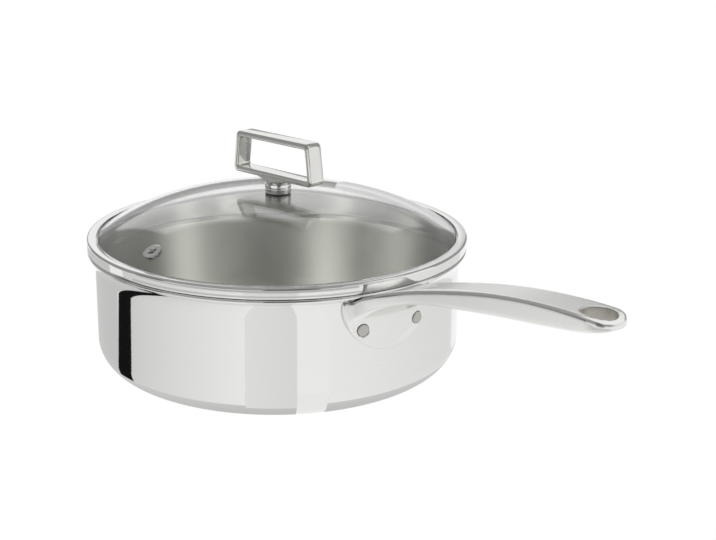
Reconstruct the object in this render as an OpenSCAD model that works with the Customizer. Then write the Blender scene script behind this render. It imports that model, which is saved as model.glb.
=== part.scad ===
// Saute pan with a glass lid. Millimetres. Z is up from the floor, the pan's axis is the Z axis,
// and the long handle points along +X.

/* [Pan] */
// Inside diameter of the straight wall
inner_d = 240; // [160:10:320]
// Height from the floor to where the wall starts to flare
flare_z = 68.6; // [50:0.1:110]
// Outside radius of the bend between base and wall
corner_r = 20.5; // [8:0.5:30]
// Thickness of the magnetic outer skin
outer_t = 0.6; // [0.4:0.1:1]
// Thickness of the aluminium core
core_t = 1.4; // [0.8:0.1:3]
// Thickness of the inner skin
inner_t = 0.6; // [0.4:0.1:1]
// Radius of the pouring lip's outer curve
lip_r = 15.3; // [4:0.1:20]
// How far the lip turns outward, in degrees
lip_turn = 44; // [30:1:85]

/* [Handle] */
// Distance from the pan's axis to the tip of the handle
handle_reach = 304.6; // [240:0.1:380]
// Height of the handle's top where it is highest
handle_top = 113.8; // [90:0.1:140]
// Half of the bar's width at its narrowest
bar_half_w = 12.6; // [8:0.2:18]
// Half of the bar's width near the tip
tip_half_w = 12.8; // [10:0.2:20]
// Thickness of the half-moon plate
plate_t = 3.4; // [2:0.1:5]
// Half of the plate's width
plate_half_w = 34; // [24:1:50]
// Radius of the hanging hole's two ends
hang_r = 8.2; // [4:0.2:10]
// Distance between the centres of the hanging hole's ends
hang_run = 3; // [0:0.5:30]
// Height of the two rivets above the floor
rivet_z = 58.3; // [40:0.1:70]
// Angle of each rivet from the handle's line, in degrees
rivet_turn = 9.6; // [5:0.1:15]

/* [Lid] */
// Outside diameter of the steel band
band_d = 254.8; // [200:0.2:320]
// Height of the band's top above the floor, lid closed
band_top = 89.2; // [70:0.1:110]
// Height of the band itself
band_h = 7.6; // [6:0.1:12]
// Height of the top of the glass above the floor, lid closed
dome_top = 115; // [95:0.1:140]
// How full the dome's shoulder is: 2 is a plain bowl, more is fuller
dome_power = 3; // [2:0.1:5]
// Thickness of the glass
glass_t = 4; // [3:0.1:5]
// Depth of the skirt that drops into the pan
skirt_h = 9; // [5:0.5:20]
// Distance of the steam vent from the axis
vent_at = 107; // [60:1:110]
// Direction of the steam vent, in degrees from +X
vent_turn = -80; // [-180:1:180]

/* [Knob] */
// Width of the loop at its top
loop_top_w = 67.7; // [40:0.1:100]
// Width of the loop at its foot
loop_foot_w = 75.4; // [40:0.1:100]
// Height of the loop
loop_h = 28.2; // [18:0.1:40]
// Depth of the loop's flat strip
loop_depth = 12; // [8:0.5:22]
// Thickness of the loop's strip
loop_t = 3.8; // [2.5:0.1:6]
// Height of the polished post
post_h = 6.5; // [3:0.5:15]
// Radius of the polished post
post_r = 8.8; // [6:0.1:12]
// Direction of the loop's long side, in degrees from +X
loop_turn = 10.4; // [-180:0.1:180]

/* [Hidden] */
$fn = 96;
eps = 0.02;

wall_r = inner_d / 2 + outer_t + core_t + inner_t;
wall_t = outer_t + core_t + inner_t;
lip_end = 180 - lip_turn;

rivet_shank_r = 2.6;
rivet_head_r = 3.7;
rivet_head_t = 1.6;
rivet_dome_r = 5.6;
rivet_dome_h = 2.2;

nose_r = wall_t / 2;
nose_x = wall_r + lip_r + (lip_r + nose_r) * cos(lip_end);
nose_z = flare_z + (lip_r + nose_r) * sin(lip_end);

plate_top = 77;
plate_drop = 32.3;
neck_x = 172;
bend_x = 200;
bend_z = handle_top - 12.8;
tip_corner_r = 11;
hang_x = handle_reach - 12.8;

band_r = band_d / 2;
sheet = 0.65;
band_corner = 1.6;
band_low = band_top - band_h;
glass_edge_r = band_r - sheet - 0.35;
glass_low = band_top - sheet - 0.05 - glass_t;
foot_r = band_r - 7.2;
foot_z = glass_low + glass_t;
skirt_r = inner_d / 2 - 1.4;

// The dome falls from its top as a power of the distance from the axis.
rise = dome_top - foot_z;
function dome_z(r) = dome_top - rise * pow(r / foot_r, dome_power);
function dome_slope(r) = -rise * dome_power / foot_r * pow(r / foot_r, dome_power - 1);
land_r = 9.6;
bore_r = 4;
land_top = dome_z(land_r);
land_low = land_top - glass_t;
vent_tilt = -atan(dome_slope(vent_at));
vent_flange_r = 6;
vent_tube_r = 3.6;
vent_bore_r = 3;
vent_flange_t = 0.6;

gasket_t = 0.5;
post_z = land_top + gasket_t;
boss_z = post_z + post_h;
boss_h = 3.2;
loop_z = boss_z + boss_h;
screw_r = 2.5;
washer_t = 1;
low_gasket_t = 0.9;

function arc(x, y, r, a0, a1, n) =
    [for (i = [0:n]) let (a = a0 + (a1 - a0) * i / n) [x + r * cos(a), y + r * sin(a)]];
function bez(p, q, r, s, n) =
    [for (i = [0:n]) let (t = i / n, u = 1 - t)
        u * u * u * p + 3 * u * u * t * q + 3 * u * t * t * r + t * t * t * s];
function back(list) = [for (i = [len(list) - 1:-1:0]) list[i]];

// The pan's section from the axis to the lip, at depth t below its outer surface.
function section(t) = concat(
    [[0, t]],
    arc(wall_r - corner_r, corner_r, corner_r - t, -90, 0, 8),
    arc(wall_r + lip_r, flare_z, lip_r + t, 180, lip_end, 8));

// Puts a child that points along +Z on the rivet's line, with its foot on the pan's axis.
module on_rivet_line(side) {
    rotate([0, 0, side * rivet_turn]) translate([0, 0, rivet_z]) rotate([0, 90, 0]) children();
}

module rivet_holes(r) {
    for (side = [-1, 1])
        on_rivet_line(side) translate([0, 0, wall_r - 12]) cylinder(r = r, h = 24);
}

module ply(t0, t1) {
    difference() {
        rotate_extrude() polygon(concat(section(t0), back(section(t1))));
        rivet_holes(rivet_shank_r + eps);
    }
}

module pan_outer_ply() {
    color([0.78, 0.78, 0.77]) ply(0, outer_t);
}

module pan_core_ply() {
    color([0.7, 0.71, 0.72]) ply(outer_t, outer_t + core_t);
}

// The inner skin ends in a round nose that closes the lip over the other two.
module pan_inner_ply() {
    t = outer_t + core_t;
    nose = arc(nose_x, nose_z, nose_r, lip_end - 180, lip_end, 8);
    color([0.74, 0.74, 0.73]) difference() {
        rotate_extrude() polygon(concat(section(t), nose, back(section(wall_t))));
        rivet_holes(rivet_shank_r + eps);
    }
}

// Seen from the side: an arched top and underside, and a neck that bends down to the plate.
module handle_side() {
    polygon(concat(
        [[wall_r - 3, plate_top - 22], [wall_r - 3, plate_top], [wall_r + plate_t, plate_top]],
        bez([nose_x + 2, nose_z], [140, 86], [172, bend_z - 6.4], [bend_x, bend_z], 10),
        bez([bend_x, bend_z], [230, bend_z + 6.9], [262, handle_top - 1.2],
            [handle_reach - 13, handle_top], 12),
        bez([handle_reach - 13, handle_top], [handle_reach - 6, handle_top + 0.1],
            [handle_reach - 0.6, handle_top - 0.8], [handle_reach, handle_top - 4], 6),
        [[handle_reach - 1, handle_top - 5.6], [handle_reach - 2.6, handle_top - 5.8]],
        bez([bend_x - 3, bend_z - 10], [168, 86.2], [140, 82.4], [wall_r + plate_t, plate_top - 12], 12)));
}

// Seen from above: a fan at the pan, a slim bar, and a wider tip with round corners.
module handle_plan() {
    one_side = concat(
        [[wall_r - 3, 25]],
        bez([wall_r + 2, 24.6], [137, 17], [150, 14.4], [neck_x, bar_half_w + 0.9], 8),
        bez([neck_x, bar_half_w + 0.9], [205, bar_half_w - 0.2], [250, bar_half_w - 0.2],
            [handle_reach - 16, tip_half_w], 6),
        arc(handle_reach - tip_corner_r, tip_half_w - tip_corner_r, tip_corner_r, 90, 0, 8));
    polygon(concat(one_side, [for (p = back(one_side)) [p[0], -p[1]]]));
}

// Everything inside the pan's outer surface and lip, and inside the lid's path above them.
module inside_pan() {
    rotate_extrude() polygon(concat(
        [[0, -1], [wall_r + eps, -1]],
        arc(wall_r + lip_r, flare_z, lip_r - eps, 180, lip_end, 8),
        arc(nose_x, nose_z, nose_r + 0.15, lip_end - 180, 0, 3),
        [[nose_x + 1.9, nose_z + 1], [nose_x + 1.9, handle_top + 20], [0, handle_top + 20]]));
}

module plate_outline() {
    intersection() {
        translate([0, plate_top - 2]) scale([1, plate_drop / plate_half_w]) circle(r = plate_half_w);
        translate([-60, 20]) square([120, plate_top - 20]);
    }
    translate([-plate_half_w, plate_top - 2]) square([2 * plate_half_w, 2]);
}

module handle() {
    color([0.72, 0.72, 0.71]) difference() {
        union() {
            intersection() {
                cylinder(r = wall_r + plate_t, h = plate_top);
                rotate([90, 0, 90]) linear_extrude(height = 160) plate_outline();
            }
            intersection() {
                rotate([90, 0, 0]) linear_extrude(height = 80, center = true) handle_side();
                linear_extrude(height = 140) handle_plan();
            }
        }
        inside_pan();
        for (end = [-0.5, 0.5])
            translate([hang_x + end * hang_run, 0, handle_top - 30]) cylinder(r = hang_r, h = 60);
        translate([hang_x - hang_run / 2, -hang_r, handle_top - 30])
            cube([hang_run, 2 * hang_r, 60]);
        rivet_holes(rivet_shank_r + eps);
        for (side = [-1, 1]) on_rivet_line(side)
            translate([0, 0, wall_r + plate_t - rivet_head_t - eps]) cylinder(r = rivet_head_r + eps, h = 5);
    }
}

// A flush head outside, a shank through plate and wall, and a domed head inside the pan.
module rivet(side) {
    inside = inner_d / 2 - 0.16;
    outside = wall_r + plate_t;
    color([0.66, 0.66, 0.64]) on_rivet_line(side) rotate_extrude() polygon(concat(
        [[0, inside - rivet_dome_h]],
        arc(0, inside - 0.7, rivet_dome_r, 0, 0, 1),
        [[rivet_dome_r, inside], [rivet_shank_r, inside],
            [rivet_shank_r, outside - rivet_head_t], [rivet_head_r, outside - rivet_head_t],
            [rivet_head_r, outside - 0.15], [rivet_head_r - 0.5, outside + 0.15], [0, outside + 0.2]]));
}

module rivet_left() {
    rivet(1);
}

module rivet_right() {
    rivet(-1);
}

// Points of the dome at depth t below its top surface, from radius r0 out to radius r1.
function dome(t, r0, r1, n) =
    [for (i = [0:n]) let (r = r0 + (r1 - r0) * i / n, s = dome_slope(r), l = sqrt(1 + s * s))
        [r + s * t / l, dome_z(r) - t / l]];

// Moves a child to the vent, with the glass's top surface as its floor.
module at_vent() {
    rotate([0, 0, vent_turn]) translate([vent_at, 0, dome_z(vent_at)]) rotate([0, vent_tilt, 0])
        children();
}

module lid_glass() {
    round = 0.6;
    color([0.8, 0.86, 0.85, 0.35]) difference() {
        rotate_extrude() polygon(concat(
            [[bore_r, land_low], [bore_r, land_top]],
            dome(0, land_r, foot_r, 14),
            [[glass_edge_r - round, glass_low + glass_t], [glass_edge_r, glass_low + glass_t - round],
                [glass_edge_r, glass_low + round], [glass_edge_r - round, glass_low],
                [foot_r - 1, glass_low]],
            back(dome(glass_t, land_r, foot_r, 14))));
        at_vent() translate([0, 0, -8]) cylinder(r = vent_tube_r + eps, h = 16);
    }
}

// Steel sheet rolled round the glass's edge and folded to a thick seat under it, with a skirt
// whose lower edge is beaded.
module lid_band() {
    inner_corner = band_corner - sheet;
    mid = band_r - band_corner;
    bead = 0.65;
    skirt_low = band_low - skirt_h + bead;
    seat = glass_low - 0.05;
    color([0.78, 0.78, 0.77]) rotate_extrude() polygon(concat(
        [[foot_r + 0.8, band_top]],
        arc(mid, band_top - band_corner, band_corner, 90, 0, 5),
        arc(mid, band_low + band_corner, band_corner, 0, -90, 5),
        arc(skirt_r + 0.6, band_low - 0.6, 0.6, 90, 180, 4),
        arc(skirt_r - sheet + bead, skirt_low, bead, 0, -180, 8),
        [[skirt_r - sheet, seat - 0.6], [skirt_r - sheet + 0.6, seat]],
        arc(mid, seat + inner_corner, inner_corner, -90, 0, 4),
        arc(mid, band_top - band_corner, inner_corner, 0, 90, 4),
        [[foot_r + 0.8, band_top - sheet]]));
}

// A tube through the glass with a flange on each face.
module vent_eyelet() {
    low = -glass_t - 0.25;
    color([0.78, 0.78, 0.77]) at_vent() rotate_extrude() polygon([
        [vent_bore_r, low - vent_flange_t + 0.3], [vent_bore_r, vent_flange_t - 0.3],
        [vent_bore_r + 0.3, vent_flange_t], [vent_flange_r - 0.4, vent_flange_t - 0.05],
        [vent_flange_r, 0.2], [vent_flange_r, 0], [vent_tube_r, 0], [vent_tube_r, low],
        [vent_flange_r - 0.6, low], [vent_flange_r - 0.6, low - 0.2],
        [vent_flange_r - 1, low - vent_flange_t + 0.05], [vent_bore_r + 0.3, low - vent_flange_t]]);
}

// The loop's outline on its own plane, made smaller by inset on every side.
module loop_outline(inset) {
    polygon([[-loop_foot_w / 2 + inset, loop_z + inset], [loop_foot_w / 2 - inset, loop_z + inset],
        [loop_top_w / 2 - inset, loop_z + loop_h - inset], [-loop_top_w / 2 + inset, loop_z + loop_h - inset]]);
}

// A flat strip bent to a loop, with a curved foot that runs down into a round boss.
module knob_loop() {
    outer_round = 3.6;
    inner_round = 1.6;
    foot = bez([post_r + 11, loop_z + 1], [post_r + 4, loop_z - 0.2], [post_r + 1, loop_z - 1],
        [post_r - 0.4, boss_z], 6);
    color([0.74, 0.74, 0.73]) difference() {
        rotate([0, 0, loop_turn]) union() {
            rotate([90, 0, 0]) linear_extrude(height = loop_depth, center = true) {
                difference() {
                    offset(r = outer_round, $fn = 32) offset(delta = -outer_round) loop_outline(0);
                    offset(r = inner_round, $fn = 24) offset(delta = -inner_round) loop_outline(loop_t);
                }
                polygon(concat(foot, [for (p = back(foot)) [-p[0], p[1]]]));
            }
            translate([0, 0, boss_z]) cylinder(r = post_r - 0.5, h = boss_h - 0.6);
        }
        translate([0, 0, boss_z - 1]) cylinder(r = screw_r + eps, h = 6.2);
    }
}

module knob_post() {
    chamfer = 0.5;
    color([0.8, 0.8, 0.79]) rotate_extrude() polygon([
        [screw_r + 0.1, post_z], [post_r - chamfer, post_z], [post_r, post_z + chamfer],
        [post_r, boss_z - chamfer], [post_r - chamfer, boss_z], [screw_r + 0.1, boss_z]]);
}

module knob_gasket_top() {
    color([0.12, 0.12, 0.12]) translate([0, 0, land_top]) difference() {
        cylinder(r = post_r - 0.3, h = gasket_t);
        translate([0, 0, -1]) cylinder(r = screw_r + 0.1, h = 4);
    }
}

// A washer under the glass with a sleeve that centres the screw in the glass's hole.
module knob_gasket_low() {
    color([0.12, 0.12, 0.12]) rotate_extrude() polygon([
        [screw_r + 0.1, land_low - low_gasket_t], [land_r - 0.8, land_low - low_gasket_t],
        [land_r - 0.8, land_low], [bore_r - 0.1, land_low],
        [bore_r - 0.1, land_top], [screw_r + 0.1, land_top]]);
}

module knob_washer() {
    low = land_low - low_gasket_t - washer_t;
    color([0.78, 0.78, 0.77]) rotate_extrude() polygon([
        [screw_r + 0.1, low], [land_r - 1.6, low], [land_r - 0.8, low + 0.5],
        [land_r - 0.8, low + washer_t], [screw_r + 0.1, low + washer_t]]);
}

module knob_screw() {
    head_r = 4.6;
    head_h = 2.8;
    under = land_low - low_gasket_t - washer_t;
    slot_w = 1.1;
    color([0.7, 0.7, 0.69]) difference() {
        rotate_extrude() polygon(concat(
            [[0, under - head_h]],
            arc(head_r - 1.8, under - head_h + 1.8, 1.8, -90, 0, 6),
            [[head_r, under], [screw_r, under], [screw_r, boss_z + 4.6], [0, boss_z + 4.6]]));
        for (turn = [0, 90]) rotate([0, 0, turn])
            translate([-2.4, -slot_w / 2, under - head_h - 1]) cube([4.8, slot_w, 2.4]);
    }
}

pan_outer_ply();
pan_core_ply();
pan_inner_ply();
handle();
rivet_left();
rivet_right();
lid_glass();
lid_band();
vent_eyelet();
knob_loop();
knob_post();
knob_gasket_top();
knob_gasket_low();
knob_washer();
knob_screw();
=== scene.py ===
"""Looks of the saute pan with its glass lid: camera, materials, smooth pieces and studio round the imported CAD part.

Metres, in the CAD frame. The pieces' sizes are written in millimetres and scaled by MM."""

import math

import bmesh
import bpy
from mathutils import Matrix, Vector


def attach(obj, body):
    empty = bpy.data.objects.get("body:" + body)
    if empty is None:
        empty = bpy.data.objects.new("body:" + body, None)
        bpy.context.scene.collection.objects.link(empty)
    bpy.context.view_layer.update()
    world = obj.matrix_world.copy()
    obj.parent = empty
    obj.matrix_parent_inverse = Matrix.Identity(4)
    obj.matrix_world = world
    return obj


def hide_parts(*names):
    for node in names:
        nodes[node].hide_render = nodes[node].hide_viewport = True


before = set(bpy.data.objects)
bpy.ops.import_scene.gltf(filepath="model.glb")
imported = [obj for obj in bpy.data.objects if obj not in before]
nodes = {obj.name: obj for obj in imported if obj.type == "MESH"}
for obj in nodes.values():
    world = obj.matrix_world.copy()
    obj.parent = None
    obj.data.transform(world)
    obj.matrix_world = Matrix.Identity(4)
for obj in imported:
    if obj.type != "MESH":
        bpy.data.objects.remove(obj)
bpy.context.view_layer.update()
MM = 0.001

# Camera, fitted to the outlines in the photograph
PHOTO_W, PHOTO_H = 716, 540  # pixels
VIEW_TURN = 56.7  # degrees round the object, from the side that looks along +Y
VIEW_RISE = 18.7  # degrees above the horizon
VIEW_ROLL = 0.41  # degrees
DISTANCE = 0.901  # from the middle of the pan's axis to the lens
AIM = Vector((0, 0, 0.040))  # a point on the pan's axis
AIM_X, AIM_Y = 278.65, 298.0  # where the photograph shows it, in pixels from the top left
SENSOR = 36.0  # millimetres
FOCAL_PX = 1308.0  # focal length, in the photograph's pixels


def toward(angle):
    """A flat unit vector, angle in degrees to the right of the line from the pan to the camera."""
    turn = math.radians(VIEW_TURN - 90 + angle)
    return Vector((math.cos(turn), math.sin(turn), 0))


LENS = AIM + DISTANCE * (toward(0) * math.cos(math.radians(VIEW_RISE))
                         + Vector((0, 0, math.sin(math.radians(VIEW_RISE)))))


def make_camera():
    data = bpy.data.cameras.new("camera")
    data.sensor_width = SENSOR
    data.lens = FOCAL_PX / PHOTO_W * SENSOR
    data.clip_start, data.clip_end = 0.01, 200
    cam = bpy.data.objects.new("camera", data)
    bpy.context.scene.collection.objects.link(cam)
    level = (AIM - LENS).to_track_quat("-Z", "Y").to_matrix()
    ray = Vector(((AIM_X - PHOTO_W / 2) / FOCAL_PX, (PHOTO_H / 2 - AIM_Y) / FOCAL_PX, -1)).normalized()
    yaw = Matrix.Rotation(-math.atan2(ray.x, -ray.z), 3, "Y")
    pitch = Matrix.Rotation(math.asin(ray.y), 3, "X")
    roll = Matrix.Rotation(math.radians(VIEW_ROLL), 3, "Z")
    cam.rotation_mode = "QUATERNION"
    cam.location = LENS
    cam.rotation_quaternion = (level @ (roll @ yaw @ pitch).transposed()).to_quaternion()
    bpy.context.scene.camera = cam


make_camera()
bpy.context.scene.view_settings.view_transform = "Standard"


# Materials


MIX_A, MIX_B, MIX_OUT = 6, 7, 2  # sockets of a colour mix
PLAIN_A, PLAIN_B = 2, 3  # inputs of a plain mix


class Tree:
    """A material's node tree, with short ways to add and join nodes."""

    def __init__(self, name):
        self.material = bpy.data.materials.new(name)
        self.material.use_nodes = True
        self.nodes = self.material.node_tree.nodes
        self.links = self.material.node_tree.links
        self.nodes.clear()
        self.out = self.nodes.new("ShaderNodeOutputMaterial")

    def add(self, kind, **values):
        node = self.nodes.new("ShaderNode" + kind)
        for key, value in values.items():
            if hasattr(node, key):
                setattr(node, key, value)
            else:
                node.inputs[key.replace("_", " ")].default_value = value
        return node

    def join(self, a, out, b, into):
        self.links.new(a.outputs[out], b.inputs[into])
        return b

    def ramp(self, source, out, low, high, to_low, to_high):
        """Maps source's range low to high onto to_low to to_high."""
        node = self.nodes.new("ShaderNodeMapRange")
        for key, value in (("From Min", low), ("From Max", high), ("To Min", to_low), ("To Max", to_high)):
            node.inputs[key].default_value = value
        self.links.new(source.outputs[out], node.inputs["Value"])
        return node


def steel(name, colour, rough_low, rough_high, brush, bump, grain=0.0, along=0.0, shaded_hole=None):
    """Steel with fine lines and faint smudges. brush is the lines' scale along X, Y and Z in the object's coordinates.

    grain stretches the gloss, and along turns that stretch, as a share of a full turn.
    The last argument is the middle and the two half sizes, in metres, of a hole whose wall is left rough as cast and
    painted darker: painted shade inside the hole."""
    t = Tree(name)
    place = t.add("TexCoord")
    stretch = t.nodes.new("ShaderNodeMapping")
    stretch.inputs["Scale"].default_value = brush
    t.join(place, "Object", stretch, "Vector")
    lines = t.add("TexNoise", Scale=1.0, Detail=4.0, Roughness=0.6)
    t.join(stretch, "Vector", lines, "Vector")
    cloud = t.add("TexNoise", Scale=6.0, Detail=3.0, Roughness=0.5)
    t.join(place, "Object", cloud, "Vector")
    mixed = t.nodes.new("ShaderNodeMath")
    mixed.operation = "ADD"
    t.join(t.ramp(lines, "Fac", 0.3, 0.7, 0, 0.5), 0, mixed, 0)
    t.join(t.ramp(cloud, "Fac", 0.3, 0.7, 0, 0.5), 0, mixed, 1)
    rough = t.ramp(mixed, 0, 0, 1, rough_low, rough_high)
    shade = t.nodes.new("ShaderNodeMix")
    shade.data_type = "RGBA"
    shade.inputs[MIX_A].default_value = (*[c * 0.95 for c in colour], 1)
    shade.inputs[MIX_B].default_value = (*colour, 1)
    t.join(mixed, 0, shade, 0)
    relief = t.nodes.new("ShaderNodeBump")
    relief.inputs["Strength"].default_value = bump
    relief.inputs["Distance"].default_value = 0.0001
    t.join(lines, "Fac", relief, "Height")
    metal = t.nodes.new("ShaderNodeBsdfPrincipled")
    metal.inputs["Metallic"].default_value = 1.0
    metal.inputs["Anisotropic"].default_value = grain
    metal.inputs["Anisotropic Rotation"].default_value = along
    skin, gloss = shade, rough
    # Painted shade: the hole's wall gets a darker colour and a rougher gloss than the rest of the steel.
    if shaded_hole:
        hole = t.nodes.new("ShaderNodeMapping")
        hole.vector_type = "POINT"
        hole.inputs["Location"].default_value = (-shaded_hole[0] / shaded_hole[1], 0, 0)
        hole.inputs["Scale"].default_value = (1 / shaded_hole[1], 1 / shaded_hole[2], 0)
        t.join(place, "Object", hole, "Vector")
        far = t.nodes.new("ShaderNodeVectorMath")
        far.operation = "LENGTH"
        t.join(hole, "Vector", far, 0)
        inside = t.ramp(far, "Value", 1.0, 1.05, 1, 0)
        skin = t.nodes.new("ShaderNodeMix")
        skin.data_type = "RGBA"
        skin.inputs[MIX_B].default_value = (0.6, 0.58, 0.54, 1)
        t.join(inside, 0, skin, 0)
        t.join(shade, MIX_OUT, skin, MIX_A)
        gloss = t.nodes.new("ShaderNodeMix")
        gloss.inputs[PLAIN_B].default_value = 0.5
        t.join(inside, 0, gloss, 0)
        t.join(rough, 0, gloss, PLAIN_A)
    t.join(skin, MIX_OUT, metal, "Base Color")
    t.join(gloss, 0, metal, "Roughness")
    t.join(relief, "Normal", metal, "Normal")
    t.join(metal, 0, t.out, "Surface")
    return t.material


def clear_glass():
    """Clear tempered glass that lets light through to what it covers."""
    t = Tree("lid_glass_clear")
    place = t.add("TexCoord")
    wave = t.add("TexNoise", Scale=5.0, Detail=1.0, Roughness=0.4)
    t.join(place, "Object", wave, "Vector")
    relief = t.nodes.new("ShaderNodeBump")
    relief.inputs["Strength"].default_value = 0.03
    relief.inputs["Distance"].default_value = 0.0002
    t.join(wave, "Fac", relief, "Height")
    glass = t.nodes.new("ShaderNodeBsdfPrincipled")
    glass.inputs["Base Color"].default_value = (0.975, 0.985, 0.98, 1)
    glass.inputs["IOR"].default_value = 1.5
    glass.inputs["Transmission Weight"].default_value = 1.0
    t.join(t.ramp(wave, "Fac", 0.3, 0.7, 0.004, 0.02), 0, glass, "Roughness")
    t.join(relief, "Normal", glass, "Normal")
    through = t.add("BsdfTransparent")
    through.inputs["Color"].default_value = (0.95, 0.965, 0.96, 1)
    path = t.add("LightPath")
    either = t.nodes.new("ShaderNodeMath")
    either.operation = "MAXIMUM"
    t.join(path, "Is Shadow Ray", either, 0)
    t.join(path, "Is Diffuse Ray", either, 1)
    mix = t.nodes.new("ShaderNodeMixShader")
    t.join(either, 0, mix, 0)
    t.join(glass, 0, mix, 1)
    t.join(through, 0, mix, 2)
    t.join(mix, 0, t.out, "Surface")
    return t.material


def silicone():
    """Dark matt rubber with a fine grain."""
    t = Tree("silicone_grey")
    place = t.add("TexCoord")
    grain = t.add("TexNoise", Scale=900.0, Detail=3.0, Roughness=0.6)
    t.join(place, "Object", grain, "Vector")
    relief = t.nodes.new("ShaderNodeBump")
    relief.inputs["Strength"].default_value = 0.2
    relief.inputs["Distance"].default_value = 0.0001
    t.join(grain, "Fac", relief, "Height")
    rubber = t.nodes.new("ShaderNodeBsdfPrincipled")
    rubber.inputs["Base Color"].default_value = (0.12, 0.12, 0.12, 1)
    t.join(t.ramp(grain, "Fac", 0.3, 0.7, 0.5, 0.65), 0, rubber, "Roughness")
    t.join(relief, "Normal", rubber, "Normal")
    t.join(rubber, 0, t.out, "Surface")
    return t.material


STEEL = (0.82, 0.82, 0.81)
WARM = (0.72, 0.715, 0.68)
RINGS = (40, 40, 2600)  # fine lines round the axis
BAR_LINES = (60, 1400, 1400)  # fine lines along the handle
HANG_X = 0.2918  # the middle of the hanging hole
MATERIALS = {
    "mirror": steel("steel_mirror", STEEL, 0.03, 0.06, RINGS, 0.01),
    "lip": steel("steel_lip", STEEL, 0.05, 0.09, RINGS, 0.02),
    "satin": steel("steel_satin_inside", WARM, 0.37, 0.42, RINGS, 0.02, grain=1.0, along=0.25),
    # The handle's hanging hole gets painted shade on its wall.
    "cast": steel("steel_satin_cast", (0.82, 0.82, 0.80), 0.18, 0.26, BAR_LINES, 0.02, shaded_hole=(HANG_X, 0.0100, 0.0085)),
    "knob": steel("steel_polished_knob", (0.78, 0.775, 0.75), 0.08, 0.14, (500, 500, 500), 0.04),
    "rivet": steel("steel_rivet", (0.5, 0.49, 0.46), 0.22, 0.32, (900, 900, 900), 0.08),
    "core": steel("aluminium_core", (0.7, 0.71, 0.72), 0.3, 0.4, RINGS, 0.1),
    "glass": clear_glass(),
    "silicone": silicone(),
}
FINISH = {
    "pan_outer_ply": "mirror",
    "pan_core_ply": "core",
    "pan_inner_ply": "satin",
    "handle": "cast",
    "rivet_left": "rivet",
    "rivet_right": "rivet",
    "lid_glass": "glass",
    "lid_band": "lip",
    "vent_eyelet": "lip",
    "knob_loop": "knob",
    "knob_post": "mirror",
    "knob_gasket_top": "silicone",
    "knob_gasket_low": "silicone",
    "knob_washer": "lip",
    "knob_screw": "rivet",
}
for name, finish in FINISH.items():
    node = nodes[name]
    if not node.material_slots:
        node.data.materials.append(None)
    for slot in node.material_slots:
        slot.material = MATERIALS[finish]


# Smooth pieces that stand for the CAD nodes, from the same sizes as the part's source, in millimetres

INNER_R, OUTER_T, CORE_T, INNER_T = 120.0, 0.6, 1.4, 0.6
WALL_T = OUTER_T + CORE_T + INNER_T
WALL_R = INNER_R + WALL_T
FLARE_Z, CORNER_R, LIP_R, LIP_END = 68.6, 20.5, 15.3, 136.0
NOSE_R = WALL_T / 2
NOSE_X = WALL_R + LIP_R + (LIP_R + NOSE_R) * math.cos(math.radians(LIP_END))
NOSE_Z = FLARE_Z + (LIP_R + NOSE_R) * math.sin(math.radians(LIP_END))
BAND_R, BAND_TOP, BAND_H, SHEET, BAND_CORNER = 127.36, 89.2, 7.6, 0.65, 1.6
BAND_LOW = BAND_TOP - BAND_H
GLASS_T, DOME_TOP, DOME_POWER, FOOT_R = 4.0, 115.0, 3.0, 120.2
GLASS_LOW = BAND_TOP - SHEET - 0.05 - GLASS_T
SKIRT_R, SKIRT_H, BEAD = 118.6, 9.0, 0.65
LAND_R, BORE_R = 9.6, 4.0  # the flat under the knob's post, and the glass's hole there
VENT_AT, VENT_TURN = 107.0, -80.0
POST_R, POST_H, SCREW_R, BOSS_H = 8.8, 6.5, 2.5, 3.2
RIVET_Z, RIVET_TURN, PLATE_R = 58.3, 9.6, 126.0
BEND_STEPS = 24
ROUND_STEPS = 256  # round the axis, for the largest pieces


def arc(x, y, r, a0, a1, n):
    """n + 1 points of an arc between two angles in degrees."""
    return [(x + r * math.cos(math.radians(a0 + (a1 - a0) * i / n)),
             y + r * math.sin(math.radians(a0 + (a1 - a0) * i / n))) for i in range(n + 1)]


def bez(p, q, r, s, n):
    """n + 1 points of a cubic curve."""
    out = []
    for i in range(n + 1):
        t = i / n
        u = 1 - t
        out.append(tuple(u ** 3 * a + 3 * u * u * t * b + 3 * u * t * t * c + t ** 3 * d
                         for a, b, c, d in zip(p, q, r, s)))
    return out


def add_object(bm, name):
    """An object with bm's mesh."""
    mesh = bpy.data.meshes.new(name)
    bm.to_mesh(mesh)
    bm.free()
    thing = bpy.data.objects.new(name, mesh)
    bpy.context.scene.collection.objects.link(thing)
    return thing


def smooth(mesh):
    for face in mesh.polygons:
        face.use_smooth = True


def finish_mesh(bm, name, node, sharp=35.0, where=None):
    """Makes the object, smooth except at edges sharper than sharp degrees, and puts it in the node's place."""
    bmesh.ops.recalc_face_normals(bm, faces=bm.faces)
    if where:
        bm.transform(where)
    thing = add_object(bm, name)
    smooth(thing.data)
    thing.data.set_sharp_from_angle(angle=math.radians(sharp))
    thing.data.materials.append(MATERIALS[FINISH[node]])
    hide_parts(node)
    return thing


def add_rings(bm, loops):
    """New vertices for loops of points in millimetres."""
    return [[bm.verts.new([c * MM for c in p]) for p in loop] for loop in loops]


def bridge(bm, pairs):
    """Faces between each pair of rings."""
    for a, b in pairs:
        for i in range(len(a)):
            j = (i + 1) % len(a)
            bm.faces.new((a[i], a[j], b[j], b[i]))


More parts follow.
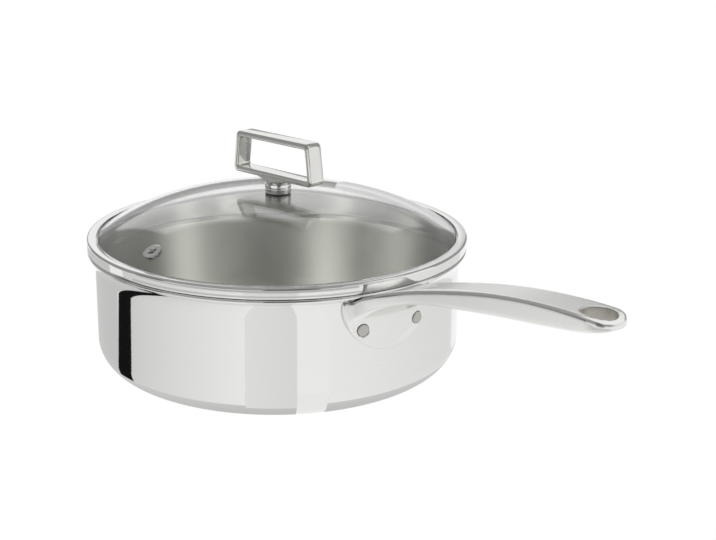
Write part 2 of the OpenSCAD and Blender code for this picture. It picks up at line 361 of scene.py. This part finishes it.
def lathe(name, node, profile, steps=192, sharp=35.0, where=None):
    """Turns a closed profile of (radius, height) in millimetres round the axis."""
    bm = bmesh.new()
    rings = []
    for r, z in profile:
        if r < 0.01:
            rings.append([bm.verts.new((0, 0, z * MM))] * steps)
        else:
            rings.append([bm.verts.new((r * MM * math.cos(2 * math.pi * i / steps),
                                        r * MM * math.sin(2 * math.pi * i / steps), z * MM)) for i in range(steps)])
    for k in range(len(rings)):
        a, b = rings[k], rings[(k + 1) % len(rings)]
        for i in range(steps):
            j = (i + 1) % steps
            corners = []
            for v in (a[i], a[j], b[j], b[i]):
                if v not in corners:
                    corners.append(v)
            if len(corners) > 2:
                bm.faces.new(corners)
    return finish_mesh(bm, name, node, sharp, where)


def loft(name, node, loops, sharp):
    """A closed skin through loops of points in millimetres, with a flat cap on both ends."""
    bm = bmesh.new()
    rings = add_rings(bm, loops)
    bridge(bm, zip(rings, rings[1:]))
    bm.faces.new(rings[0])
    bm.faces.new(list(reversed(rings[-1])))
    return finish_mesh(bm, name, node, sharp)


def pan_section(t):
    """From the axis to the lip's edge, at depth t under the outer skin."""
    return ([(0, t)] + arc(WALL_R - CORNER_R, CORNER_R, CORNER_R - t, -90, 0, BEND_STEPS)
            + [(WALL_R - t, z) for z in (28, 38, 48, 58)]
            + arc(WALL_R + LIP_R, FLARE_Z, LIP_R + t, 180, LIP_END, BEND_STEPS))


def make_pan():
    """The outer skin, the satin inside, and the polished lip that is turned over both."""
    outer = lathe("pan_skin_outside", "pan_outer_ply", pan_section(0) + pan_section(OUTER_T)[::-1], ROUND_STEPS)
    nose = arc(NOSE_X, NOSE_Z, NOSE_R * 0.999, LIP_END - 180, LIP_END, 16)
    near, far = pan_section(OUTER_T + CORE_T), pan_section(WALL_T)
    flare = len(near) - BEND_STEPS - 1  # where the wall ends and the flare begins
    inner = lathe("pan_skin_inside", "pan_inner_ply", near[:flare + 1] + far[flare::-1], ROUND_STEPS)
    lip = lathe("pan_skin_lip", "pan_inner_ply", near[flare:] + nose + far[:flare - 1:-1], ROUND_STEPS)
    lip.data.materials[0] = MATERIALS["lip"]
    for thing in (outer, inner, lip):
        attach(thing, "pan")


def dome_z(r):
    """Height of the glass's upper face."""
    return DOME_TOP - (DOME_TOP - GLASS_LOW - GLASS_T) * (r / FOOT_R) ** DOME_POWER


def dome_slope(r):
    return -(DOME_TOP - GLASS_LOW - GLASS_T) * DOME_POWER / FOOT_R * (r / FOOT_R) ** (DOME_POWER - 1)


def dome(t, r0, r1, n):
    """Points of the face at depth t under the glass's upper face."""
    out = []
    for i in range(n + 1):
        r = r0 + (r1 - r0) * i / n
        s = dome_slope(r)
        length = math.hypot(1, s)
        out.append((r + s * t / length, dome_z(r) - t / length))
    return out


LAND_TOP = dome_z(LAND_R)
POST_Z = LAND_TOP + 0.5
BOSS_Z = POST_Z + POST_H
LOOP_Z = BOSS_Z + BOSS_H


def vent_place():
    """Where the vent stands in the dome, square to its face."""
    tilt = -math.atan(dome_slope(VENT_AT))
    return (Matrix.Rotation(math.radians(VENT_TURN), 4, "Z")
            @ Matrix.Translation((VENT_AT * MM, 0, dome_z(VENT_AT) * MM)) @ Matrix.Rotation(tilt, 4, "Y"))


def cut(thing, cutter):
    """Takes cutter out of thing and deletes it."""
    change = thing.modifiers.new("cut", "BOOLEAN")
    change.operation, change.object, change.solver = "DIFFERENCE", cutter, "EXACT"
    bake(thing)
    bpy.data.objects.remove(cutter)


def bake(thing):
    """Applies a piece's modifiers."""
    view = bpy.context.evaluated_depsgraph_get()
    mesh = bpy.data.meshes.new_from_object(thing.evaluated_get(view))
    thing.modifiers.clear()
    thing.data = mesh


def rod(r, low, high, where):
    """A plain cutter along Z, in millimetres."""
    bm = bmesh.new()
    bmesh.ops.create_cone(bm, cap_ends=True, segments=48, radius1=r * MM, radius2=r * MM, depth=(high - low) * MM)
    bm.transform(where @ Matrix.Translation((0, 0, (low + high) / 2 * MM)))
    return add_object(bm, "cutter")


def make_lid():
    """The glass, its band with the skirt, and the vent's eyelet."""
    edge_r, rnd = BAND_R - SHEET - 0.35, 0.6
    top = GLASS_LOW + GLASS_T
    outline = ([(BORE_R, LAND_TOP - GLASS_T), (BORE_R, LAND_TOP)] + dome(0, LAND_R, FOOT_R, 60)
               + [(edge_r - rnd, top), (edge_r, top - rnd), (edge_r, GLASS_LOW + rnd), (edge_r - rnd, GLASS_LOW),
                  (FOOT_R - 1, GLASS_LOW)] + dome(GLASS_T, LAND_R, FOOT_R, 60)[::-1])
    glass = lathe("lid_dome", "lid_glass", outline, 192, sharp=20)
    cut(glass, rod(3.65, -9, 9, vent_place()))
    mid, inner = BAND_R - BAND_CORNER, BAND_CORNER - SHEET
    seat, low = GLASS_LOW - 0.05, BAND_LOW - SKIRT_H + BEAD
    band = lathe("lid_rim", "lid_band",
                 [(FOOT_R + 0.85, BAND_TOP - 0.1), (FOOT_R + 1, BAND_TOP)]
                 + arc(mid, BAND_TOP - BAND_CORNER, BAND_CORNER, 90, 0, 12)
                 + arc(mid, BAND_LOW + BAND_CORNER, BAND_CORNER, 0, -90, 12)
                 + arc(SKIRT_R + 0.6, BAND_LOW - 0.6, 0.6, 90, 180, 6)
                 + arc(SKIRT_R - SHEET + BEAD, low, BEAD, 0, -180, 12)
                 + [(SKIRT_R - SHEET, seat - 0.6), (SKIRT_R - SHEET + 0.6, seat)]
                 + arc(mid, seat + inner, inner, -90, 0, 6) + arc(mid, BAND_TOP - BAND_CORNER, inner, 0, 90, 6)
                 + [(FOOT_R + 0.85, BAND_TOP - SHEET)], ROUND_STEPS)
    low = -GLASS_T - 0.25
    eyelet = lathe("vent_ring", "vent_eyelet",
                   [(3, low - 0.3), (3, 0.3), (3.12, 0.48), (3.4, 0.6), (5.2, 0.58), (5.75, 0.42), (6, 0.2), (6, 0),
                    (3.6, 0), (3.6, low), (5.4, low), (5.4, low - 0.25), (5.0, low - 0.55), (3.3, low - 0.6)],
                   48, where=vent_place())
    for thing in (glass, band, eyelet):
        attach(thing, "lid")


def rounded(points, radii, n):
    """A closed outline of points with round corners, n + 1 points a corner."""
    out = []
    count = len(points)
    for i in range(count):
        p, a, b = Vector(points[i]), Vector(points[i - 1]), Vector(points[(i + 1) % count])
        u, v = (a - p).normalized(), (b - p).normalized()
        half = u.angle(v) / 2
        reach = radii / math.tan(half)
        centre = p + (u + v).normalized() * (radii / math.sin(half))
        start, end = p + u * reach - centre, p + v * reach - centre
        turn = start.angle(end)
        for k in range(n + 1):
            s = k / n
            w = (start * math.sin((1 - s) * turn) + end * math.sin(s * turn)) / math.sin(turn)
            out.append(centre + w)
    return out


def make_knob():
    """The loop with the flare under its lower bar, and the post."""
    foot_w, top_w, high, deep, thick, turn = 75.4, 67.7, 28.2, 12.0, 3.8, math.radians(10.4)
    edge = 0.9
    boss_steps, boss_sides = 12, 64

    def turned(x, y, z):
        return (x * math.cos(turn) - y * math.sin(turn), x * math.sin(turn) + y * math.cos(turn), z)

    def outline(inset, radius):
        lean = (foot_w - top_w) / 2 / high
        side = inset * math.hypot(1, lean)
        low, up = LOOP_Z + inset, LOOP_Z + high - inset
        at_low, at_up = foot_w / 2 - lean * inset - side, top_w / 2 + lean * inset - side
        return rounded([(-at_low, low), (at_low, low), (at_up, up), (-at_up, up)], radius, 10)

    outer, inner = outline(0, 3.6), outline(thick, 1.6)
    loops = []
    for o, i in zip(outer, inner):
        across = (i - o).normalized()
        size = (i - o).length
        section = []
        for cx, cy, a0 in ((deep / 2 - edge, size - edge, 0), (-deep / 2 + edge, size - edge, 90),
                           (-deep / 2 + edge, edge, 180), (deep / 2 - edge, edge, 270)):
            section += arc(cx, cy, edge, a0, a0 + 90, 4)
        loop = []
        for y, s in section:
            p = o + across * s
            loop.append(turned(p.x, y, p.y))
        loops.append(loop)
    bm = bmesh.new()
    rings = add_rings(bm, loops)
    bridge(bm, zip(rings, rings[1:] + rings[:1]))
    foot = bez((POST_R + 11, LOOP_Z + 1), (POST_R + 4, LOOP_Z - 0.2), (POST_R + 1, LOOP_Z - 1),
               (POST_R - 0.5, BOSS_Z + 0.02), boss_steps)
    boss = []
    for k, (w, z) in enumerate(foot):
        s = k / boss_steps
        power = 8 - 6 * min(1, s * 1.25)
        half = (deep / 2 - 0.05) * (1 - s) + (POST_R - 0.5) * s
        ring = []
        for i in range(boss_sides):
            c, d = math.cos(2 * math.pi * i / boss_sides), math.sin(2 * math.pi * i / boss_sides)
            x = w * math.copysign(abs(c) ** (2 / power), c)
            y = half * math.copysign(abs(d) ** (2 / power), d)
            ring.append(turned(x, y, z))
        boss.append(ring)
    rings = add_rings(bm, boss)
    bridge(bm, zip(rings, rings[1:]))
    bm.faces.new(rings[0])
    bm.faces.new(rings[-1])
    grip = finish_mesh(bm, "knob_grip", "knob_loop", 50)
    post = lathe("knob_neck", "knob_post",
                 [(SCREW_R + 0.1, POST_Z)] + arc(POST_R - 0.5, POST_Z + 0.5, 0.5, -90, 0, 5)
                 + arc(POST_R - 0.5, BOSS_Z - 0.5, 0.5, 0, 90, 5) + [(SCREW_R + 0.1, BOSS_Z)], 96)
    for thing in (grip, post):
        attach(thing, "lid")


def rivet_place(side):
    """The rivet's own Z runs outwards through the wall."""
    return (Matrix.Rotation(math.radians(side * RIVET_TURN), 4, "Z") @ Matrix.Translation((0, 0, RIVET_Z * MM))
            @ Matrix.Rotation(math.radians(90), 4, "Y"))


def make_rivets():
    """A domed head inside the pan, a shank, and a flush head in the plate."""
    inside, outside = INNER_R - 0.16, PLATE_R
    for side, name in ((1, "rivet_left"), (-1, "rivet_right")):
        profile = [(0, inside - 2.2), (2, inside - 2.1), (3.8, inside - 1.7), (5.1, inside - 1.0),
                   (5.6, inside - 0.4), (5.6, inside), (2.6, inside), (2.6, outside - 1.6), (3.7, outside - 1.6),
                   (3.7, outside - 0.12), (3.55, outside + 0.06), (3.2, outside + 0.13), (1.8, outside + 0.18),
                   (0, outside + 0.2)]
        head = lathe(name.replace("rivet", "rivet_head"), name, profile, 64, where=rivet_place(side))
        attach(head, "pan")


LOOP_POINTS = 72  # in every loop of the handle
CORNER_POINTS = LOOP_POINTS // 8  # in a corner, and as many along each side


def blob(wide, mid, down, up, low_power, high_power):
    """A rounded outline (y, z) from its half width, its middle and its reach below and above it."""
    out = []
    for i in range(LOOP_POINTS):
        a = 2 * math.pi * (i + 0.5) / LOOP_POINTS
        c, s = math.cos(a), math.sin(a)
        power = high_power if s > 0 else low_power
        y = wide * math.copysign(abs(c) ** (2 / power), c)
        z = mid + (up if s > 0 else down) * math.copysign(abs(s) ** (2 / power), s)
        out.append((y, z))
    return out


def box_loop(wide, low, high, r_low, r_high, reach):
    """A loop across the handle: a box with its own corner radius below and above."""
    out = []
    n = CORNER_POINTS
    for cy, cz, r, a0, ahead in ((wide, high, r_high, 0, (-1, 0)), (-wide, high, r_high, 90, (0, -1)),
                                 (-wide, low, r_low, 180, (1, 0)), (wide, low, r_low, 270, (0, 1))):
        side, up = math.copysign(1, cy), 1 if cz == high else -1
        corner = arc(cy - side * r, cz - up * r, r, a0, a0 + 90, n - 1)
        run = 2 * (wide - r) if ahead[0] else high - low - r_low - r_high
        y, z = corner[-1]
        out += corner
        out += [(y + ahead[0] * run * k / (n + 1), z + ahead[1] * run * k / (n + 1)) for k in range(1, n + 1)]
    return [(reach, y, z) for y, z in out]


def along(curve, x):
    """The height of a curve of (x, z) points at x."""
    for (x0, z0), (x1, z1) in zip(curve, curve[1:]):
        if x0 <= x <= x1:
            return z0 + (z1 - z0) * (x - x0) / max(x1 - x0, 1e-9)
    return curve[-1][1] if x > curve[-1][0] else curve[0][1]


def slot_cutter(middle):
    """A cutter for the hanging hole, a short slot with round ends."""
    end_r, half_run = 8.2, 1.5
    ring = arc(middle + half_run, 0, end_r, -90, 90, 24) + arc(middle - half_run, 0, end_r, 90, 270, 24)
    bm = bmesh.new()
    low, high = ([bm.verts.new((x * MM, y * MM, z)) for x, y in ring] for z in (0.09, 0.13))
    bridge(bm, [(low, high)])
    bm.faces.new(low)
    bm.faces.new(high)
    bmesh.ops.recalc_face_normals(bm, faces=bm.faces)
    return add_object(bm, "cutter")


def make_handle():
    """One skin from the plate's back over its face, up the flared neck and along the bar to the round tip."""
    root, reach, top = 126.0, 304.6, 113.8  # the face of the plate, the tip and the highest point
    bend_x, bend_z = 200.0, top - 12.8  # where the neck passes into the bar
    hang_x = reach - 13  # from here the bar's upper side runs down to the tip
    curl_r, level_r = 165, 172  # the sections follow the plate's curve up to curl_r, and are flat from level_r
    tip, tip_w = 11.0, 12.8  # corner radius and half width at the tip

    upper = ([(root, 76.9), (127.5, 78.6)]
             + bez((128.2, 79.6), (140, 86.4), (172, bend_z - 5.2), (bend_x, bend_z + 1.2), 24)
             + bez((bend_x, bend_z + 1.2), (230, bend_z + 8.0), (262, top - 0.8), (hang_x, top), 24)[1:]
             + bez((hang_x, top), (reach - 6, top - 0.1), (reach - 1.5, top - 1.3), (reach, top - 3.1), 12)[1:])
    lower = (bez((root, 62), (127.5, 72), (145, 83.2), (bend_x - 3, bend_z - 10), 30)
             + [(228, 96.1), (257, 100.2), (284, 104.3), (297, 107.0), (reach - 2.6, 108.0), (reach, 108.6)])
    width = (bez((root, 31), (126.8, 21), (144, 14.4), (172, 13.5), 30)
             + [(200, 12.8), (230, 12.55), (260, 12.6), (291, 12.8)])

    def half_width(x):
        if x > reach - tip:
            return tip_w - tip + math.sqrt(max(tip ** 2 - (x - reach + tip) ** 2, 0))
        return along(width, x)

    def curl(loop):
        """Lays a loop on a cylinder round the pan's axis near the plate, and less and less towards the bar."""
        out = []
        for r, y, z in loop:
            if r < curl_r:
                x = math.sqrt(r * r - y * y)
            else:
                x = r - (curl_r - math.sqrt(curl_r ** 2 - y * y)) * max(0, (level_r - r) / (level_r - curl_r))
            out.append((x, y, z))
        return out

    def back_of(z):
        """How far from the axis the pan's wall lets the plate's back come."""
        return WALL_R + 0.05 if z < FLARE_Z else WALL_R + LIP_R + 0.05 - math.sqrt(LIP_R ** 2 - (z - FLARE_Z) ** 2)

    def plate_loop(inset, depth):
        outline = blob(34.0 - inset, 75.0, 32.3 - inset, 2.0 - inset * 0.6, 2.0, 9.0)
        return [(max(PLATE_R - depth, back_of(z)), y, z) for y, z in outline]

    loops = [curl([(back_of(z), y, z) for _, y, z in plate_loop(3.0, 9)])]
    for inset, depth in ((0.2, 9), (0.0, 1.6), (0.05, 0.9), (0.35, 0.3), (0.9, 0.02), (2.2, 0)):
        loops.append(curl(plate_loop(inset, depth)))
    xs = [root]
    xs += [root + 46.0 * (k / 30) ** 1.9 for k in range(1, 31)]
    xs += [172 + (reach - tip - 172) * k / 40 for k in range(1, 41)]
    xs += [reach - tip + tip * math.sin(math.radians(90 * k / 12)) for k in range(1, 13)]
    for x in xs:
        high, low, half = along(upper, x), along(lower, x), half_width(x)
        middle = (high + low) / 2
        from_plate = min(1.0, max(0.0, (x - root) / 20.0))
        along_bar = min(1.0, max(0.0, (x - 190) / 60))
        round_low, round_high = 3.0 - 0.8 * from_plate, min(3.2 - 1.2 * along_bar, half * 0.8)
        loop = box_loop(half + 0.2, low - 0.6, high + 0.5, round_low, round_high, x)
        if x > reach - 0.5:
            loop = [(x, y, middle + (z - middle) * 0.92) for _, y, z in loop]
        loops.append(curl(loop))
    handle = loft("handle_cast", "handle", loops, 60)
    cut(handle, slot_cutter(reach - 12.8))
    for side in (1, -1):
        cut(handle, rod(3.9, PLATE_R - 1.7, PLATE_R + 7, rivet_place(side)))
    skin = handle.modifiers.new("skin", "REMESH")
    skin.mode, skin.voxel_size, skin.use_smooth_shade = "VOXEL", 0.00055, True
    soft = handle.modifiers.new("soft", "SMOOTH")
    soft.factor, soft.iterations = 0.5, 8
    bake(handle)
    smooth(handle.data)
    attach(handle, "pan")


make_pan()
make_lid()
make_knob()
make_rivets()
make_handle()


# Studio


def plane(name, size, place):
    bm = bmesh.new()
    w, h = size[0] / 2, size[1] / 2
    bm.faces.new([bm.verts.new((x, y, 0)) for x, y in ((-w, -h), (w, -h), (w, h), (-w, h))])
    thing = add_object(bm, name)
    thing.location = place
    return thing


def floor_material():
    """A white floor that keeps a faint shadow: part lit surface, part plain white where it is looked at."""
    t = Tree("floor_white")
    lit = t.add("BsdfDiffuse")
    lit.inputs["Color"].default_value = (0.9, 0.9, 0.9, 1)
    white = t.add("Emission")
    white.inputs["Color"].default_value = (1, 1, 1, 1)
    white.inputs["Strength"].default_value = 1.011
    path = t.add("LightPath")
    seen = t.nodes.new("ShaderNodeMath")
    seen.operation = "MAXIMUM"
    t.join(path, "Is Camera Ray", seen, 0)
    t.join(path, "Is Transmission Ray", seen, 1)
    mirrored = t.nodes.new("ShaderNodeMath")
    mirrored.operation = "MAXIMUM"
    t.join(seen, 0, mirrored, 0)
    t.join(path, "Is Glossy Ray", mirrored, 1)
    mix = t.nodes.new("ShaderNodeMixShader")
    t.join(t.ramp(mirrored, 0, 0, 1, 0, 0.985), 0, mix, 0)
    t.join(lit, 0, mix, 1)
    t.join(white, 0, mix, 2)
    t.join(mix, 0, t.out, "Surface")
    return t.material


def card_shade(name, start, end):
    """A plain glow that runs from start to end across the card."""
    t = Tree(name)
    place = t.add("UVMap")
    apart = t.add("SeparateXYZ")
    t.join(place, "UV", apart, "Vector")
    glow = t.add("Emission")
    t.join(t.ramp(apart, "X", 0, 1, start, end), 0, glow, "Strength")
    t.join(glow, 0, t.out, "Surface")
    return t.material


def make_card(card, shades, through_glass=False):
    """Turns an object into a card that only the steel shows, and the glass too if asked."""
    card.data.materials.append(card_shade(card.name + "_shade", *shades))
    card.visible_camera = False
    card.visible_shadow = False
    card.visible_diffuse = False
    card.visible_transmission = through_glass


def card_strips(name, rows, shades, through_glass=False):
    """A card from rows of points. Its shade runs from the first row to the last."""
    bm = bmesh.new()
    uv = bm.loops.layers.uv.new("UVMap")
    grid = [[bm.verts.new(p) for p in row] for row in rows]
    last = len(rows) - 1
    for i in range(last):
        for k in range(len(rows[0]) - 1):
            face = bm.faces.new((grid[i][k], grid[i + 1][k], grid[i + 1][k + 1], grid[i][k + 1]))
            for loop, u in zip(face.loops, (i, i + 1, i + 1, i)):
                loop[uv].uv = (u / last, 0)
    make_card(add_object(bm, name), shades, through_glass)


def between(a, b, s):
    return a + (b - a) * s


def floor_card(name, start, end, shades, high, low, lift=0.0006):
    """A card on the floor where the pan's wall shows it: between two angles, each given at the wall's top and foot,
    and between two heights in millimetres. Below the bend it follows the bend."""
    across, down = 12, 8
    rows = []
    for i in range(across + 1):
        row = []
        for k in range(down + 1):
            z = between(high, low, k / down)
            out = toward(between(between(*start, k / down), between(*end, k / down), i / across))
            dip = max(0.0, (CORNER_R - z) / CORNER_R)
            flat = math.sqrt(1 - dip ** 2)
            wall = (out * (WALL_R - CORNER_R * (1 - flat)) + Vector((0, 0, z))) * MM
            normal = out * flat - Vector((0, 0, dip))
            ray = wall - LENS
            ray = ray - 2 * ray.dot(normal) * normal
            row.append(wall + ray * ((lift - wall.z) / ray.z))
        rows.append(row)
    card_strips(name, rows, shades)


def foot_shadow_card(name, near, far, shades):
    """A darker ring on the floor round the pan's foot, its shade given at both radii, in millimetres: a painted
    contact shadow of the pan, which only the steel's reflections show.
    """
    rows = [[toward(i * 5) * r * MM + Vector((0, 0, 0.0003)) for i in range(73)] for r in (near, far)]
    card_strips(name, rows, shades)


def floor_patch(name, start, end, near, far, shade):
    """A card on the floor between two angles and two radii, in metres."""
    rows = [[toward(between(start, end, i / 12)) * r + Vector((0, 0, 0.0012)) for r in (near, far)] for i in range(13)]
    card_strips(name, rows, (shade, shade))


def wall_card(name, start, end, low, high, shades, through_glass=True):
    """A standing card round the set, between two angles and two heights in metres."""
    across = max(2, int(abs(end - start) / 4))
    rows = []
    for i in range(across + 1):
        p = toward(between(start, end, i / across)) * SCREEN_R
        rows.append([(p.x, p.y, z) for z in (low, high)])
    card_strips(name, rows, shades, through_glass)


def lamp(name, power, size, place):
    """A warm lamp that lights the pan's inside only."""
    data = bpy.data.lights.new(name, "AREA")
    data.energy = power
    data.shape = "RECTANGLE"
    data.color = (1.0, 0.985, 0.94)
    data.size, data.size_y = size
    light = bpy.data.objects.new(name, data)
    bpy.context.scene.collection.objects.link(light)
    light.location = place
    light.rotation_euler = (Vector((0, 0, 0.06)) - place).to_track_quat("-Z", "Y").to_euler()
    light.light_linking.receiver_collection = inside


def make_world():
    """The grey surroundings, which only the steel and the glass show."""
    world = bpy.data.worlds.new("studio")
    bpy.context.scene.world = world
    world.use_nodes = True
    sky = world.node_tree.nodes["Background"]
    sky.inputs["Color"].default_value = (0.80, 0.80, 0.79, 1)
    sky.inputs["Strength"].default_value = 0.45


SCREEN_R = 0.8
STRIPE_LIFT = 0.0009  # above the other floor cards

plane("floor", (120, 120), (0, 0, -0.0001)).data.materials.append(floor_material())
make_world()

# What the wall shows, from left to right
# Painted shadow: a darker ring round the pan's foot, which only the steel's reflections show.
foot_shadow_card("card_foot_shadow", 100, 136, (0.5, 0.8))
floor_card("card_left", (-76, -80), (-54.4, -56.8), (0.64, 0.64), 100, 10)
floor_card("card_black", (-54.4, -57.0), (-47.9, -49.4), (0.008, 0.008), 75, 12, STRIPE_LIFT)
floor_card("card_left_fade", (-47.9, -49.4), (-9.4, -9.8), (0.72, 0.98), 100, 12)
floor_card("card_middle", (-9.4, -9.8), (5.0, 5.0), (0.88, 0.82), 100, 10)
floor_card("card_bright", (5.0, 5.0), (14.0, 14.0), (0.98, 0.98), 20, 2)
floor_card("card_right_fade", (14.0, 14.0), (66, 68), (0.98, 0.82), 100, 12)

# Lines in the lid's band and the knob's side
floor_patch("card_band_far", -78, 40, 0.405, 0.52, 0.5)
floor_patch("card_band_near", -78, 40, 0.322, 0.350, 0.55)
floor_patch("card_knob", -100, -82, 0.44, 0.9, 0.42)

# What the knob, the handle and the glass show
wall_card("screen_front", -8, 22, 0.0, 0.9, (0.15, 0.15))
wall_card("screen_right", 96, 150, 0.0, 0.5, (0.35, 0.35))
wall_card("screen_left", -132, -83, 0.0, 0.42, (0.3, 0.3))
wall_card("screen_left_fan", -83, -64, 0.0, 0.42, (0.1, 0.1))
wall_card("screen_high", 62, 95, 0.8, 1.14, (1.6, 1.6), through_glass=False)
make_card(plane("card_tip", (0.115, 0.115), (0.3025, 0.0375, 0.163)), (1.0, 1.0))
wall_card("screen_loop", 58, 95, -0.02, 0.55, (0.9, 0.95))
wall_card("screen_bar", 151, 173, -0.02, 0.14, (0.72, 0.72))
wall_card("screen_bar_mid", 151, 173, 0.14, 0.2, (0.9, 0.9))
wall_card("screen_bar_top", 151, 173, 0.2, 0.26, (0.76, 0.76))
wall_card("screen_far", 172, 210, 0.25, 0.66, (1.0, 1.0))
wall_card("screen_far_fade", 150, 172, 0.261, 0.36, (0.36, 1.0))
wall_card("screen_far_top", 150, 172, 0.36, 0.66, (0.8, 1.0))

# Stripes in the pan's inside
inside = bpy.data.collections.new("inside")
inside.objects.link(bpy.data.objects["pan_skin_inside"])
lamp("right_box", 5.6, (0.22, 0.8), toward(80) * 0.76 + Vector((0, 0, 0.75)))
lamp("front_box", 8.5, (0.42, 0.7), toward(-38) * 0.9 + Vector((0, 0, 0.8)))
lamp("left_box", 6, (0.16, 0.8), toward(-104) * 0.8 + Vector((0, 0, 0.75)))
